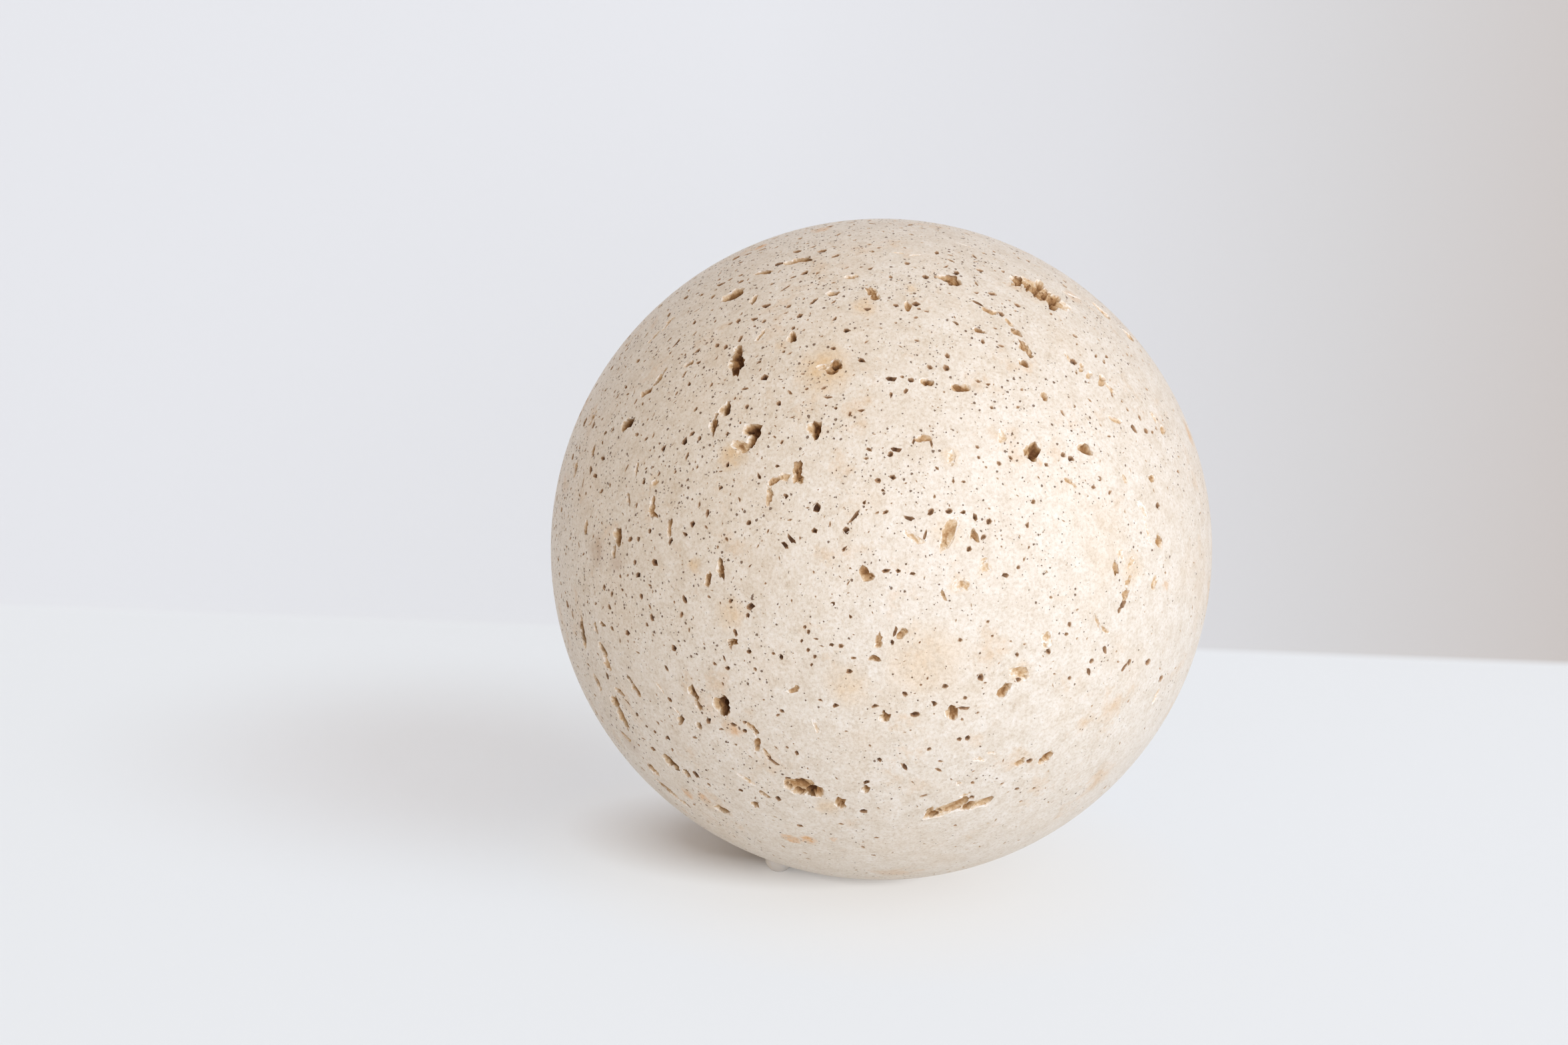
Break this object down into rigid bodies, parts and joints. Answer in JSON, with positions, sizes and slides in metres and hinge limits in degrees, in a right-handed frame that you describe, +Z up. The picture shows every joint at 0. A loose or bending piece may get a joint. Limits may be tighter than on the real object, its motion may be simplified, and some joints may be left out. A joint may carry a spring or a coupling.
{
  "type": "travertine sphere",
  "caption": "Honed ball of open-pored travertine with pits of every size over its surface, standing on small clear dome feet as a desk weight or shelf ornament.",
  "frame": {"origin": "on the floor, straight under the middle of the ball", "axes": "+Z up; the side of the ball that the picture shows faces -Y"},
  "size_m": [0.15, 0.15, 0.1504],
  "materials": {
    "travertine": "honed, with a soft sheen and open pores",
    "clear_silicone": "smooth and translucent"
  },
  "bodies": {
    "root": {"stone_sphere": "travertine", "foot_left": "clear_silicone", "foot_right": "clear_silicone", "foot_rear": "clear_silicone"}
  },
  "joints": []
}
